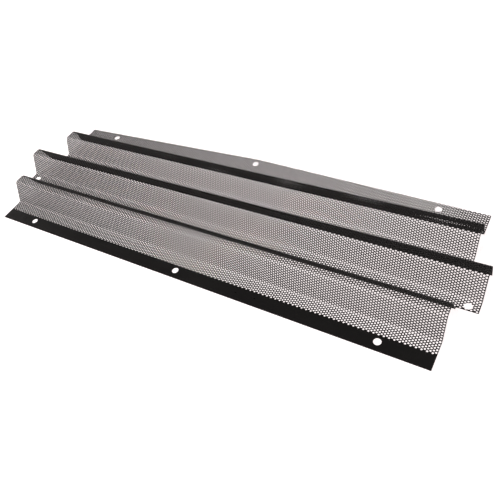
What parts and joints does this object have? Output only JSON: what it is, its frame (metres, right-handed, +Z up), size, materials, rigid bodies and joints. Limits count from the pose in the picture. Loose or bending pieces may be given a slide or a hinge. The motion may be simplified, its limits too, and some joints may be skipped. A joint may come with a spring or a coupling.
{
  "type": "hood grille",
  "caption": "Perforated steel grille sheet for a vehicle hood, press-folded into ridges along its length, with flat bolted flanges, end tabs and a shallow peaked rear edge.",
  "frame": {"origin": "on the surface the grille lies on, under the middle of its outline", "axes": "+X along the ridges, +Y from the front flange to the rear flange, +Z up from the floors to the ridge tops"},
  "size_m": [0.643, 0.2126, 0.0288],
  "materials": {
    "coated_steel": "satin"
  },
  "bodies": {
    "root": {"grille_sheet": "coated_steel"}
  },
  "joints": []
}
